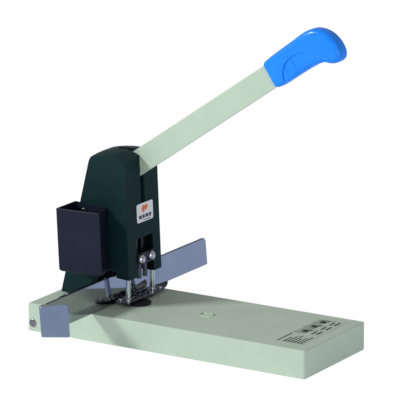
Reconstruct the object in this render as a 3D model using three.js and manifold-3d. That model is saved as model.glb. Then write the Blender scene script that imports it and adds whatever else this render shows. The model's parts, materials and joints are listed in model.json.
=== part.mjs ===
// A heavy-duty lever hole punch: folded steel base, cast tower, long lever, sliding fence.
// Millimetres, +Z up. Built from the base's near left bottom corner, then moved so that the
// origin lies under the middle of the whole object.
import * as THREE from "three";
import { mergeVertices } from "three/addons/utils/BufferGeometryUtils.js";
import Module from "manifold-3d";

const wasm = await Module();
wasm.setup();

// ---------- driving dimensions ----------
const GAP = 0.3; // between touching pieces
const SEGMENTS = 22; // sides of a round piece

const BASE = { length: 400, width: 148, top: 37, bottom: 1.5, sheet: 1.5, edge: 1.6, corner: 2.5 };
const FOOT = { inset: 24, side: 16, r: 9, height: 1.9 };
const PAN = { x0: 17, z0: 2.2, z1: 3.4 };
const MARK = { x0: 210, x1: 228, y0: 63, y1: 77, depth: 0.35 }; // embossed in the table
const PANEL = { x0: 344, x1: 384, y0: 22, y1: 134 }; // printed on the table
const HEAD_Y = 88.5; // middle plane of the tower, lever and punches

const FENCE = { x: 97, near: -113.8, length: 386.4, height: 36.4, sheet: 1.6, lean: 4.8, round: 7 };
// The end plate turns back towards the base by this angle from square, round a bend.
// It flares a little from the bend to its free edge.
const PLATE = { reach: 31.5, low: -1.2, tip: [-2.7, 38.6], step: 16, corner: 3, angle: 24, bend: 4.5 };
const RAIL = { x: -5.3, y0: -61, y1: 40, drop: 2, r: 1.6 };
const CLIP_Y = [-30, 24];
const TAB = { x0: 62, x1: 93.4, half: 8, sheet: 1.6, rise: 14, screwX: 71 };
const TAB_Y = [24, 137];
const TRAVEL = { x0: 47, x1: 75, half: 2.4 }; // slots that the thumb screws slide in

const FOOT_Z = BASE.top + GAP;
const TOWER = {
  rearX: 5.7,
  rearSlope: 0.27,
  rearHalf: 21.5,
  slopeNear: 0.158,
  far: 126,
  throatX: 68,
  throatZ: 79,
  noseX: 98.5,
  noseZ: 71,
  top: 229.8,
  crownX: 92,
  crownR: 112,
  frontTop: new THREE.Vector2(113, 224.2),
  frontLow: new THREE.Vector2(119.2, 71),
};
const TOWER_BOLTS = [[22, 78], [22, 99], [56, 68], [56, 110]];
const CAVITY = { half: 19, wall: 5.2, frontX: 110.4, top: 212, ledge: 83, footTop: 58 };
const WINDOW_TOP = 119.5;
const SLOT = { half: 4.4, low: 161.2 };
const BADGE = { half: 18.4, tall: 12, corner: 2.6, thick: 0.9, z: 151, shift: 2 };

const PIVOT = new THREE.Vector2(62, 180.6);
const LEVER = { angle: 34.7, width: 30, thick: 7, end: 376, hub: 11 };
const GRIP = { start: 291, half: 11, bevel: 1.6, pinAt: 350, pinDrop: 2, pinHalf: 8 };
// The lever's crank pin starts this many degrees above level and ends as many below it.
const CRANK = { radius: 43.5, rest: 18.4, roller: 4.2, pin: 2.6, half: 12.4 };
const STROKE = 2 * CRANK.radius * Math.sin(THREE.MathUtils.degToRad(CRANK.rest));

const BLOCK = { x0: 98.9, x1: 116, z0: 85, z1: 100, half: 18.4 };
const YOKE = { x0: 89, x1: 109.6, low: 118, top: 205, inner: 4, outer: 13, play: 0.45 };
const FLANGE = { x0: 73, z: 148, thick: 5, half: 15 };
const CLAMP = { x0: 116.3, x1: 119.4, z0: 85.6, z1: 99.8, half: 18 };
const CLAMP_BOLT = { offset: 11.4, z: 92.6, r: 6.25 };
const DISC = { x: 118.9, y: 70.2, r: 17, thick: 2.6, bore: 3.4 };
// The lowest point of each punch: in the die, or for the near one on the turning disc.
const PUNCH = { x: 109, pitch: 14, r: 3.25, bore: 2.4, low: 36.6, top: 96.5 };
const DISC_TOP = BASE.top + GAP + DISC.thick;
const DIE = { x0: 101.3, x1: 116.7, y0: 80.3, y1: 111.7, z0: 33, bore: 3.6 };
const SPRING = { x: 80.5, offset: 9.5, r: 5, bore: 3.5 };

const PRESSER = { z: 41.2, thick: 1.6, curlFrom: 130, curlRun: 20, curl: 4 };
const PRESSER_SCREWS = [[116.4, 51.5], [103.8, 53], [116, 126.4]];
const POST = { x: 111, offset: 27.8, r: 3.4, top: 112, bore: 142 };

const BOX = {
  x0: 31,
  x1: 92,
  backX: 84.3,
  y0: 19,
  frontY: 23.5,
  top: 159.5,
  bottom: 78.5,
  wall: 2,
  shift: 4.4,
};
const BOX_SCREW = { x: 48.4, z: 150.4, r: 2, head: 4.2 };
const DOOR = { pinX: 7.5, pinZ: 12, pin: 2.8, top: 33.2, low: 4.2, thick: 1.4, margin: 5, barrel: 20 };

// ---------- materials ----------
const paint = (color, roughness = 0.45) => ({ color, roughness, metalness: 0.1 });
const metal = (color, roughness = 0.15) => ({ color, roughness, metalness: 1 });
const FINISH = {
  pale: paint(0xc4d2bf),
  green: paint(0x1c3030, 0.4),
  plastic: paint(0x20243a, 0.5),
  blue: paint(0x1f7fe8, 0.25),
  rubber: paint(0x141414, 0.8),
  chrome: metal(0xc8ccd4, 0.08),
  steel: metal(0x9a9c9e, 0.35),
  dark: metal(0x33363a, 0.4),
  brass: metal(0xb08d4a, 0.3),
  badge: paint(0xe8e8e8, 0.4),
  print: paint(0x8f9f8c, 0.6),
};

// ---------- solids ----------
function solid(geometry) {
  const bare = geometry.index ? geometry.toNonIndexed() : geometry.clone();
  for (const name of Object.keys(bare.attributes)) {
    if (name !== "position") bare.deleteAttribute(name);
  }
  const merged = mergeVertices(bare, 1e-4);
  const mesh = new wasm.Mesh({
    numProp: 3,
    vertProperties: merged.attributes.position.array,
    triVerts: new Uint32Array(merged.index.array),
  });
  return new wasm.Manifold(mesh);
}

function box(x0, x1, y0, y1, z0, z1) {
  const geometry = new THREE.BoxGeometry(x1 - x0, y1 - y0, z1 - z0);
  geometry.translate((x0 + x1) / 2, (y0 + y1) / 2, (z0 + z1) / 2);
  return solid(geometry);
}

// The shape as plain points, without the repeated ones where an arc meets a line.
function cleaned(shape, divisions) {
  const points = shape.getPoints(divisions);
  const kept = points.filter((point, i) => point.distanceTo(points.at(i - 1)) > 0.01);
  return new THREE.Shape(kept);
}

// A shape drawn on the XZ plane, made solid from y0 to y1.
function alongY(shape, y0, y1, bevel = 0, steps = 2) {
  const geometry = new THREE.ExtrudeGeometry(cleaned(shape, 7), {
    depth: y1 - y0 - 2 * bevel,
    bevelEnabled: bevel > 0,
    bevelSize: bevel,
    bevelThickness: bevel,
    bevelOffset: -bevel,
    bevelSegments: steps,
  });
  geometry.rotateX(Math.PI / 2);
  geometry.translate(0, y1 - bevel, 0);
  return solid(geometry);
}

// A shape drawn on the XY plane, made solid from z0 to z1.
function alongZ(shape, z0, z1) {
  const options = { depth: z1 - z0, bevelEnabled: false };
  const geometry = new THREE.ExtrudeGeometry(cleaned(shape, 4), options);
  geometry.translate(0, 0, z0);
  return solid(geometry);
}

// A round bar whose ends are the points a and b.
function rod(a, b, radius, sides = SEGMENTS) {
  const from = new THREE.Vector3(...a);
  const span = new THREE.Vector3(...b).sub(from);
  const geometry = new THREE.CylinderGeometry(radius, radius, span.length(), sides);
  const up = new THREE.Vector3(0, 1, 0);
  geometry.applyQuaternion(new THREE.Quaternion().setFromUnitVectors(up, span.clone().normalize()));
  geometry.translate(...from.addScaledVector(span, 0.5).toArray());
  return solid(geometry);
}

// A turned piece: [radius, height] points from bottom to top, stood on its axis at x, y.
function turned(points, x, y, sides = SEGMENTS) {
  const profile = points.map(([r, h]) => new THREE.Vector2(r, h));
  const geometry = new THREE.LatheGeometry(profile, sides);
  geometry.rotateX(Math.PI / 2);
  geometry.translate(x, y, 0);
  return solid(geometry);
}

function ball(x, y, z, radius) {
  const geometry = new THREE.SphereGeometry(radius, 16, 8);
  geometry.translate(x, y, z);
  return solid(geometry);
}

function polygon(points) {
  return new THREE.Shape(points.map(([x, y]) => new THREE.Vector2(x, y)));
}

function roundedRect(x0, x1, y0, y1, r) {
  const shape = new THREE.Shape();
  shape.moveTo(x0 + r, y0);
  shape.lineTo(x1 - r, y0);
  shape.absarc(x1 - r, y0 + r, r, -Math.PI / 2, 0);
  shape.lineTo(x1, y1 - r);
  shape.absarc(x1 - r, y1 - r, r, 0, Math.PI / 2);
  shape.lineTo(x0 + r, y1);
  shape.absarc(x0 + r, y1 - r, r, Math.PI / 2, Math.PI);
  shape.lineTo(x0, y0 + r);
  shape.absarc(x0 + r, y0 + r, r, Math.PI, 1.5 * Math.PI);
  return shape;
}

function mesh(name, made, finish) {
  const out = made.getMesh();
  const geometry = new THREE.BufferGeometry();
  geometry.setAttribute("position", new THREE.BufferAttribute(out.vertProperties, 3));
  geometry.setIndex(new THREE.BufferAttribute(out.triVerts, 1));
  const node = new THREE.Mesh(geometry, new THREE.MeshStandardMaterial(FINISH[finish]));
  node.name = name;
  return node;
}

const join = (parts) => parts.reduce((sum, next) => sum.add(next));
const pair = [["near", -1], ["far", 1]];

// ---------- base ----------
const across = (x, z, y0, y1, r, sides) => rod([x, y0, z], [x, y1, z], r, sides);
const upright = (x, y, z0, z1, r, sides) => rod([x, y, z0], [x, y, z1], r, sides);

function baseParts() {
  const { length, width, top, bottom, sheet, edge, corner } = BASE;
  const below = 10;
  const outline = cleaned(roundedRect(0, length, 0, width, corner), 3);
  const options = {
    depth: top - edge + below,
    bevelEnabled: true,
    bevelSize: edge,
    bevelThickness: edge,
    bevelOffset: -edge,
    bevelSegments: 2,
  };
  const block = new THREE.ExtrudeGeometry(outline, options);
  block.translate(0, 0, -below);
  const cutTop = top + 3;
  const cutLow = top - 7;
  const cuts = [
    box(-1, length + 1, -1, width + 1, -2 * below, bottom),
    box(sheet, length - sheet, sheet, width - sheet, 0, top - sheet),
    box(-1, sheet + 1, 4, width - 4, 0, DOOR.top + 1.3),
    box(DIE.x0 - GAP, DIE.x1 + GAP, DIE.y0 - GAP, DIE.y1 + GAP, cutLow, cutTop),
    across(DOOR.pinX, DOOR.pinZ, -1, width + 1, DOOR.pin + 0.5),
    upright(DISC.x, DISC.y, cutLow, cutTop, 2.3, 16),
    ...TOWER_BOLTS.map(([x, y]) => upright(x, y, cutLow, cutTop, 3.3, 16)),
    ...TAB_Y.map((y) => alongZ(
      roundedRect(TRAVEL.x0, TRAVEL.x1, y - TRAVEL.half, y + TRAVEL.half, TRAVEL.half - 0.1),
      cutLow,
      cutTop,
    )),
    alongZ(roundedRect(MARK.x0, MARK.x1, MARK.y0, MARK.y1, 2), top - MARK.depth, cutTop),
  ];
  const housing = cuts.reduce((rest, cut) => rest.subtract(cut), solid(block));

  const pan = box(PAN.x0, length - 2, 2, width - 2, PAN.z0, PAN.z1);
  const strip = box(DIE.x0, DIE.x1, DIE.y0, DIE.y1, DIE.z0, top);
  const holes = [0, 1].map((k) => HEAD_Y + k * PUNCH.pitch);
  const die = holes.reduce((s, y) => s.subtract(upright(PUNCH.x, y, cutLow, cutTop, DIE.bore)), strip);
  const print = alongZ(roundedRect(PANEL.x0, PANEL.x1, PANEL.y0, PANEL.y1, 2), top + GAP / 2, top + GAP);

  const nodes = [
    mesh("base_housing", housing, "pale"),
    mesh("bottom_pan", pan, "steel"),
    mesh("die_strip", die, "steel"),
    mesh("table_panel", print, "print"),
  ];
  const feet = [FOOT.inset, length - FOOT.inset].flatMap((x) => [[x, FOOT.side], [x, width - FOOT.side]]);
  feet.forEach(([x, y], i) => {
    const { r, height } = FOOT;
    const profile = [[0, 0], [r - 0.8, 0], [r, 0.8], [r, height], [0, height]];
    nodes.push(mesh(`rubber_foot_${i + 1}`, turned(profile, x, y, 24), "rubber"));
  });
  return nodes;
}

// The hinged end door that lets the paper chips out, and its pin.
function doorParts() {
  const { pinX, pinZ, pin, top, low, thick, margin, barrel } = DOOR;
  const skinX = 0.2;
  const y0 = margin;
  const y1 = BASE.width - margin;
  const skin = box(skinX, skinX + thick, y0, y1, low, top);
  const lip = box(skinX, 6, y0, y1, low, low + thick);
  const starts = [y0 + 4, y1 - 4 - barrel];
  const barrels = starts.map((y) => across(pinX, pinZ, y, y + barrel, pin + 1.8));
  const webs = starts.map((y) => box(1, pinX, y, y + barrel, pinZ - 3, pinZ + 3));
  const bore = across(pinX, pinZ, 0, BASE.width, pin + GAP);
  const door = join([skin, lip, ...barrels, ...webs]).subtract(bore);
  const shaft = across(pinX, pinZ, -0.6, BASE.width + 0.6, pin);
  const heads = [[-1.4, -GAP], [BASE.width + GAP, BASE.width + 1.4]];
  const pinned = join([shaft, ...heads.map(([a, b]) => across(pinX, pinZ, a, b, 5))]);
  return [
    mesh("chip_door", door, "pale"),
    mesh("door_pin", pinned, "chrome"),
  ];
}

// ---------- tower ----------
function frontX(z) {
  const { frontTop, frontLow } = TOWER;
  const share = (z - frontLow.y) / (frontTop.y - frontLow.y);
  return THREE.MathUtils.lerp(frontLow.x, frontTop.x, share);
}

function rearX(z) {
  return TOWER.rearX + (z - FOOT_Z) * TOWER.rearSlope;
}

function nearSideY(x) {
  return HEAD_Y - TOWER.rearHalf + 0.3 - TOWER.slopeNear * (x - TOWER.rearX);
}

function towerSide() {
  const { throatX, throatZ, noseX, noseZ, top, frontTop, frontLow } = TOWER;
  const shape = new THREE.Shape();
  shape.moveTo(rearX(FOOT_Z), FOOT_Z);
  shape.lineTo(throatX, FOOT_Z);
  shape.lineTo(throatX, throatZ);
  shape.lineTo(noseX, throatZ);
  shape.lineTo(noseX, noseZ);
  shape.lineTo(frontLow.x, frontLow.y);
  shape.lineTo(frontTop.x, frontTop.y);
  shape.quadraticCurveTo(104, 228, 94, top);
  shape.lineTo(78, top - 0.6);
  shape.quadraticCurveTo(59, top - 2, 53.4, 214);
  return shape;
}

// The casting's top is the cap of a very flat dome.
function crownedTop() {
  const { top, crownX, crownR } = TOWER;
  const rings = [0, 16, 28, 38, 52, 68, 110];
  const cap = rings.map((r) => [r, top - (r * r) / (2 * crownR)]);
  return turned([[0, 0], [110, 0], ...cap.reverse()], crownX, HEAD_Y, 36);
}

function towerCavity() {
  const { wall, frontX: x1, top, ledge, footTop } = CAVITY;
  const { throatX, noseX } = TOWER;
  const rear = rearX(footTop) + wall;
  return polygon([
    [rear, footTop],
    [throatX - 6, footTop],
    [throatX - 6, ledge],
    [noseX, ledge],
    [noseX, 60],
    [130, 60],
    [130, WINDOW_TOP],
    [x1, WINDOW_TOP],
    [x1, top - 1],
    [x1 - 1, top],
    [60, top],
    [rearX(195) + wall, 195],
  ]);
}

function towerParts() {
  const { rearX: x0, rearHalf, far } = TOWER;
  const plan = polygon([
    [x0 - 2, nearSideY(x0 - 2)],
    [125, nearSideY(125)],
    [125, far],
    [x0 - 2, HEAD_Y + rearHalf],
  ]);
  const slotFloor = SLOT.low + SLOT.half;
  const slotEnd = rod([80, HEAD_Y, slotFloor], [140, HEAD_Y, slotFloor], SLOT.half);
  const slot = box(80, 140, HEAD_Y - SLOT.half, HEAD_Y + SLOT.half, slotFloor, 260);
  const cuts = [
    alongY(towerCavity(), HEAD_Y - CAVITY.half, HEAD_Y + CAVITY.half),
    slot.add(slotEnd),
    ...pair.map(([, side]) => upright(POST.x, HEAD_Y + side * POST.offset, 60, POST.bore, POST.r + 0.4)),
    across(PIVOT.x, PIVOT.y, 62, 130, 5.3), // blind on the near side
    ...TOWER_BOLTS.map(([x, y]) => upright(x, y, 30, 52, 2.9, 16)),
    across(BOX_SCREW.x, BOX_SCREW.z, 50, 68, BOX_SCREW.r + GAP, 16),
  ];
  const outside = alongY(towerSide(), 30, 140)
    .intersect(alongZ(plan, 0, 300))
    .intersect(crownedTop());
  const body = cuts.reduce((rest, cut) => rest.subtract(cut), outside);

  const bolts = TOWER_BOLTS.map(([x, y], i) => {
    const head = upright(x, y, 31, BASE.top - BASE.sheet - GAP, 5, 6);
    return mesh(`tower_bolt_${i + 1}`, head.add(upright(x, y, 32, 51, 2.6, 16)), "steel");
  });
  return [mesh("tower_casting", body, "green"), ...bolts];
}

function badge() {
  const { half, tall, corner, thick, z, shift } = BADGE;
  const tilt = Math.atan2(TOWER.frontLow.x - TOWER.frontTop.x, TOWER.frontTop.y - TOWER.frontLow.y);
  const face = cleaned(roundedRect(-half, half, -tall, tall, corner), 6);
  const geometry = new THREE.ExtrudeGeometry(face, { depth: thick, bevelEnabled: false });
  geometry.rotateX(Math.PI / 2);
  geometry.rotateZ(Math.PI / 2);
  geometry.rotateY(-tilt);
  geometry.translate(frontX(z) + GAP, HEAD_Y + shift, z);
  return mesh("badge_plate", solid(geometry), "badge");
}

// Open-topped box screwed to the tower's near side.
function accessoryBox() {
  const { x0, x1, backX, y0, frontY, top, bottom, wall, shift } = BOX;
  const back = (x) => nearSideY(x) - GAP - 0.1;
  const outer = [[x0, y0], [x1, frontY], [backX, back(backX)], [x0, back(x0)]];
  const inner = [
    [x0 + wall, y0 + wall],
    [x1 - wall * 1.2, frontY + wall],
    [backX - wall * 0.9, back(backX) - wall],
    [x0 + wall, back(x0) - wall],
  ];
  const lean = (made) => made.warp((v) => {
    const slide = (shift * (top - v[2])) / (top - bottom);
    v[0] += slide;
    v[1] -= TOWER.slopeNear * slide;
  });
  const full = alongZ(polygon(outer), bottom, top);
  const hollow = alongZ(polygon(inner), bottom + wall, top + 1);
  const { x, z, r, head } = BOX_SCREW;
  const wallY = back(x) - wall;
  const hole = across(x, z, wallY - 2, wallY + 6, r + 0.4, 16);
  const shell = lean(full).subtract(lean(hollow)).subtract(hole);
  const screw = across(x, z, wallY - 4, wallY - 1.1, head, 20).add(across(x, z, wallY - 2, wallY + 8, r, 16));
  return [mesh("accessory_box", shell, "plastic"), mesh("box_screw", screw, "steel")];
}

// ---------- lever, built level along +X from the pivot and then turned up ----------
function tiltLever(made) {
  return made
    .rotate([0, -LEVER.angle, 0])
    .translate([PIVOT.x, 0, PIVOT.y]);
}

function gripShape() {
  const shape = new THREE.Shape();
  shape.moveTo(GRIP.start + 2, 18);
  shape.bezierCurveTo(300, 20.5, 330, 20, 348, 21);
  shape.bezierCurveTo(362, 22.5, 372, 22, 379, 18);
  shape.bezierCurveTo(389, 11, 395, 1, 396, -9);
  shape.bezierCurveTo(397, -20, 394, -30, 385, -31);
  shape.bezierCurveTo(376, -32, 374, -27, 368, -22.5);
  shape.bezierCurveTo(362, -18.5, 345, -18.5, 330, -17.8);
  shape.lineTo(GRIP.start + 5, -17.4);
  shape.quadraticCurveTo(GRIP.start, -16.5, GRIP.start, -12);
  shape.lineTo(GRIP.start, 15);
  shape.quadraticCurveTo(GRIP.start, 17.5, GRIP.start + 2, 18);
  return shape;
}

function leverParts() {
  const { width, thick, end, angle, hub } = LEVER;
  const half = width / 2;
  const round = 4;
  const outline = new THREE.Shape();
  outline.moveTo(0, hub);
  outline.absarc(0, 0, hub, Math.PI / 2, 1.5 * Math.PI, false);
  outline.quadraticCurveTo(10, -hub, 20, -half);
  outline.lineTo(end - round, -half);
  outline.absarc(end - round, -half + round, round, -Math.PI / 2, 0, false);
  outline.lineTo(end, half - round);
  outline.absarc(end - round, half - round, round, 0, Math.PI / 2, false);
  outline.lineTo(20, half);
  outline.quadraticCurveTo(10, hub, 0, hub);
  const y0 = HEAD_Y - thick / 2;
  const y1 = HEAD_Y + thick / 2;
  const crank = THREE.MathUtils.degToRad(CRANK.rest - angle);
  const cx = CRANK.radius * Math.cos(crank);
  const cz = CRANK.radius * Math.sin(crank);
  const { pinAt, pinDrop, pinHalf } = GRIP;
  const bar = alongY(outline, y0, y1)
    .subtract(across(0, 0, y0 - 1, y1 + 1, 6.3))
    .subtract(across(cx, cz, y0 - 1, y1 + 1, CRANK.pin + 0.4))
    .subtract(across(pinAt, -pinDrop, y0 - 1, y1 + 1, 2.8));
  const sleeve = alongY(gripShape(), HEAD_Y - GRIP.half, HEAD_Y + GRIP.half, GRIP.bevel, 3)
    .subtract(box(0, end + 1, y0 - GAP, y1 + GAP, -half - GAP, half + GAP))
    .subtract(across(pinAt, -pinDrop, HEAD_Y - pinHalf - GAP, HEAD_Y + pinHalf + GAP, 2.8));
  const gripPin = across(pinAt, -pinDrop, HEAD_Y - pinHalf, HEAD_Y + pinHalf, 2.4);
  const crankPin = across(cx, cz, HEAD_Y - CRANK.half, HEAD_Y + CRANK.half, CRANK.pin);
  const rollers = pair.map(([name, side]) => {
    const middle = HEAD_Y + side * 8.2;
    const [lo, hi] = [middle - 4, middle + 4];
    const bore = across(cx, cz, lo - 1, hi + 1, CRANK.pin + GAP);
    const roller = across(cx, cz, lo, hi, CRANK.roller).subtract(bore);
    return mesh(`crank_roller_${name}`, tiltLever(roller), "steel");
  });
  const bush = across(0, 0, y0 + 0.1, y1 - 0.1, 6).subtract(across(0, 0, y0 - 1, y1 + 1, 5));
  return [
    mesh("lever_bar", tiltLever(bar), "pale"),
    mesh("grip", tiltLever(sleeve), "blue"),
    mesh("grip_pin", tiltLever(gripPin), "steel"),
    mesh("crank_pin", tiltLever(crankPin), "steel"),
    mesh("pivot_bush", tiltLever(bush), "brass"),
    ...rollers,
  ];
}

// The fixed pin and the spacers that keep the lever in the middle of the cavity.
function pivotParts() {
  const fixed = (y0, y1, r) => across(PIVOT.x, PIVOT.y, y0, y1, r);
  const spacers = pair.map(([name, side]) => {
    const ends = [HEAD_Y + side * 3.9, HEAD_Y + side * (CAVITY.half - 0.4)];
    const [lo, hi] = [Math.min(...ends), Math.max(...ends)];
    return mesh(`pivot_spacer_${name}`, fixed(lo, hi, 8).subtract(fixed(lo - 1, hi + 1, 5)), "steel");
  });
  return [
    mesh("pivot_pin", fixed(62.4, 120.5, 4.7), "steel"),
    mesh("pivot_cap", fixed(121.1, 124.2, 7.5), "dark"),
    ...spacers,
  ];
}

// ---------- carrier and punches ----------
const PUNCH_Y = [-1, 0, 1].map((k) => HEAD_Y + k * PUNCH.pitch);

function carrierParts() {
  const { x0, x1, z0, z1, half } = BLOCK;
  const block = box(x0, x1, HEAD_Y - half, HEAD_Y + half, z0, z1);
  const rest = THREE.MathUtils.degToRad(CRANK.rest);
  const crankX = PIVOT.x + CRANK.radius * Math.cos(rest);
  const crankZ = PIVOT.y + CRANK.radius * Math.sin(rest);
  const jaw = CRANK.roller + YOKE.play;
  const cheeks = pair.map(([, side]) => {
    const ends = [HEAD_Y + side * YOKE.inner, HEAD_Y + side * YOKE.outer];
    const [lo, hi] = [Math.min(...ends), Math.max(...ends)];
    return box(YOKE.x0, YOKE.x1, lo, hi, YOKE.low, YOKE.top)
      .add(box(x0, YOKE.x1, lo, hi, z1 - 1, YOKE.low + 1))
      .subtract(box(crankX - jaw - 1, YOKE.x1 + 1, lo - 1, hi + 1, crankZ - jaw, crankZ + jaw));
  });
  const { x0: flangeX, z: flangeZ, thick, half: reach } = FLANGE;
  const flange = box(flangeX, YOKE.x0 + 6, HEAD_Y - reach, HEAD_Y + reach, flangeZ, flangeZ + thick);
  const boltY = pair.map(([, side]) => HEAD_Y + side * CLAMP_BOLT.offset);
  const boltHole = (y, from, to) => rod([from, y, CLAMP_BOLT.z], [to, y, CLAMP_BOLT.z], 2.3, 16);
  const cuts = [
    ...PUNCH_Y.map((y) => upright(PUNCH.x, y, 70, PUNCH.top + GAP, PUNCH.r + GAP)),
    ...boltY.map((y) => boltHole(y, 113, 120)),
  ];
  const carrier = cuts.reduce((whole, cut) => whole.subtract(cut), join([block, flange, ...cheeks]));
  const bar = box(CLAMP.x0, CLAMP.x1, HEAD_Y - CLAMP.half, HEAD_Y + CLAMP.half, CLAMP.z0, CLAMP.z1);
  const clamp = boltY.reduce((whole, y) => whole.subtract(boltHole(y, 110, 125)), bar);

  const nodes = [mesh("punch_carrier", carrier, "dark"), mesh("clamp_bar", clamp, "dark")];
  PUNCH_Y.forEach((y, i) => {
    const tip = STROKE + (i === 0 ? DISC_TOP + 0.2 : PUNCH.low);
    const tube = upright(PUNCH.x, y, tip, PUNCH.top, PUNCH.r)
      .subtract(upright(PUNCH.x, y, tip - 1, PUNCH.top - 4, PUNCH.bore));
    nodes.push(mesh(`punch_${i + 1}`, tube, "steel"));
  });
  pair.forEach(([name], i) => {
    const dome = ball(0, 0, 0, 7).intersect(box(-10, 10, -10, 10, 3.1, 10));
    const head = upright(0, 0, 0.4, 3.4, CLAMP_BOLT.r).add(dome.translate([0, 0, -1.6]));
    const bolt = head.add(upright(0, 0, -5.6, 1, 2, 16));
    const placed = bolt.rotate([0, 90, 0]).translate([CLAMP.x1, boltY[i], CLAMP_BOLT.z]);
    nodes.push(mesh(`clamp_bolt_${name}`, placed, "chrome"));
  });
  for (const [name, side] of pair) {
    const y = HEAD_Y + side * SPRING.offset;
    const z0s = CAVITY.ledge + GAP;
    const z1s = FLANGE.z - GAP;
    const sleeve = upright(SPRING.x, y, z0s, z1s, SPRING.r)
      .subtract(upright(SPRING.x, y, z0s - 1, z1s + 1, SPRING.bore));
    nodes.push(mesh(`return_spring_${name}`, sleeve, "steel"));
  }
  return nodes;
}

// ---------- presser ----------
function presserParts() {
  const { z, thick, curlFrom, curlRun, curl } = PRESSER;
  const outline = new THREE.Shape();
  outline.moveTo(100, 48);
  outline.lineTo(119, 45);
  outline.quadraticCurveTo(121.4, 45, 121.4, 48);
  outline.lineTo(120, 120);
  outline.bezierCurveTo(119, 135, 117, 146, 113, 150);
  outline.bezierCurveTo(110, 146, 102, 140, 100, 128);
  // The far end curls up into a finger lip.
  let plate = alongZ(outline, z, z + thick).refineToLength(9).warp((v) => {
    const along = Math.max(0, v[1] - curlFrom) / curlRun;
    v[2] += curl * along * along;
  });
  for (const y of PUNCH_Y) plate = plate.subtract(upright(PUNCH.x, y, 30, 60, PUNCH.r + 0.6));
  const nodes = [];
  const floor = z + thick + GAP;
  for (const [name, side] of pair) {
    const y = HEAD_Y + side * POST.offset;
    plate = plate.subtract(upright(POST.x, y, 30, 60, 2.3, 16));
    const post = upright(POST.x, y, floor, POST.top, POST.r)
      .add(upright(POST.x, y, z + 0.2, floor + 1, 2, 16))
      .add(upright(POST.x, y, floor, floor + 1.4, 4.6));
    nodes.push(mesh(`presser_post_${name}`, post, "chrome"));
  }
  PUNCH_Y.forEach((y, i) => {
    const ring = [[3.9, 0], [5.3, 0], [5.3, 1], [4.7, 2], [3.9, 2], [3.9, 0]];
    const raised = ring.map(([r, h]) => [r, floor + h]);
    nodes.push(mesh(`stripper_bush_${i + 1}`, turned(raised, PUNCH.x, y, 18), "chrome"));
  });
  PRESSER_SCREWS.forEach(([x, y], i) => {
    const profile = [[0, 0], [3, 0], [3, 1.2], [2.2, 2], [0, 2.3]];
    const raised = profile.map(([r, h]) => [r, floor + h]);
    nodes.push(mesh(`presser_screw_${i + 1}`, turned(raised, x, y, 18), "chrome"));
  });
  nodes.push(mesh("presser_plate", plate, "chrome"));
  return nodes;
}

function cuttingDisc() {
  const { x, y, r, thick, bore } = DISC;
  const z = BASE.top + GAP;
  const edge = 0.6;
  const ring = [
    [bore, z],
    [r - edge, z],
    [r, z + edge],
    [r, z + thick - edge],
    [r - edge, z + thick],
    [bore, z + thick],
    [bore, z],
  ];
  const rivet = [[0, 33], [2, 33], [2, z], [3, z], [3, z + thick - 0.6], [0, z + thick - 0.2]];
  return [
    mesh("cutting_disc", turned(ring, x, y, 32), "rubber"),
    mesh("disc_rivet", turned(rivet, x, y, 20), "steel"),
  ];
}

// ---------- fence, built upright at its own foot and then leaned back ----------
function leanFence(made) {
  return made.rotate([0, -FENCE.lean, 0]).translate([FENCE.x, 0, BASE.top + 0.5]);
}

// Where the outer face of the bend meets the end plate, from above.
function bendEnd() {
  const { angle, bend } = PLATE;
  const turn = THREE.MathUtils.degToRad(270 + angle);
  const x = bend - FENCE.sheet + bend * Math.cos(turn);
  return { turn, x, y: FENCE.near + bend + bend * Math.sin(turn) };
}

// The bent strip seen from above: a long wall, a round bend and the end plate.
function fencePlan() {
  const { near, length, sheet } = FENCE;
  const { reach, bend } = PLATE;
  const { turn } = bendEnd();
  const at = (r, a) => [bend - sheet + r * Math.cos(a), near + bend + r * Math.sin(a)];
  const arc = (r) => [0, 1, 2, 3, 4, 5].map((i) => at(r, Math.PI + ((turn - Math.PI) * i) / 5));
  const outer = arc(bend);
  const inner = arc(bend - sheet).reverse();
  const tip = ([x, y]) => [x - reach * Math.sin(turn), y + reach * Math.cos(turn)];
  const far = near + length;
  return polygon([[-sheet, far], ...outer, tip(outer.at(-1)), tip(inner[0]), ...inner, [0, far]]);
}

// What is cut off to round the end plate's two free corners.
function plateCorners() {
  const { reach, corner, tip, angle } = PLATE;
  const { x, y } = bendEnd();
  const cuts = [[tip[0], 1], [tip[1], -1]].map(([z, side]) => {
    const centreZ = z + side * corner;
    const [z0, z1] = [centreZ, z - 2 * side].sort((p, q) => p - q);
    const square = box(reach - corner, reach + 2, -3, 5, z0, z1);
    return square.subtract(across(reach - corner, centreZ, -4, 6, corner, 24));
  });
  return join(cuts).rotate([0, 0, angle]).translate([x, y, 0]);
}

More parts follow.
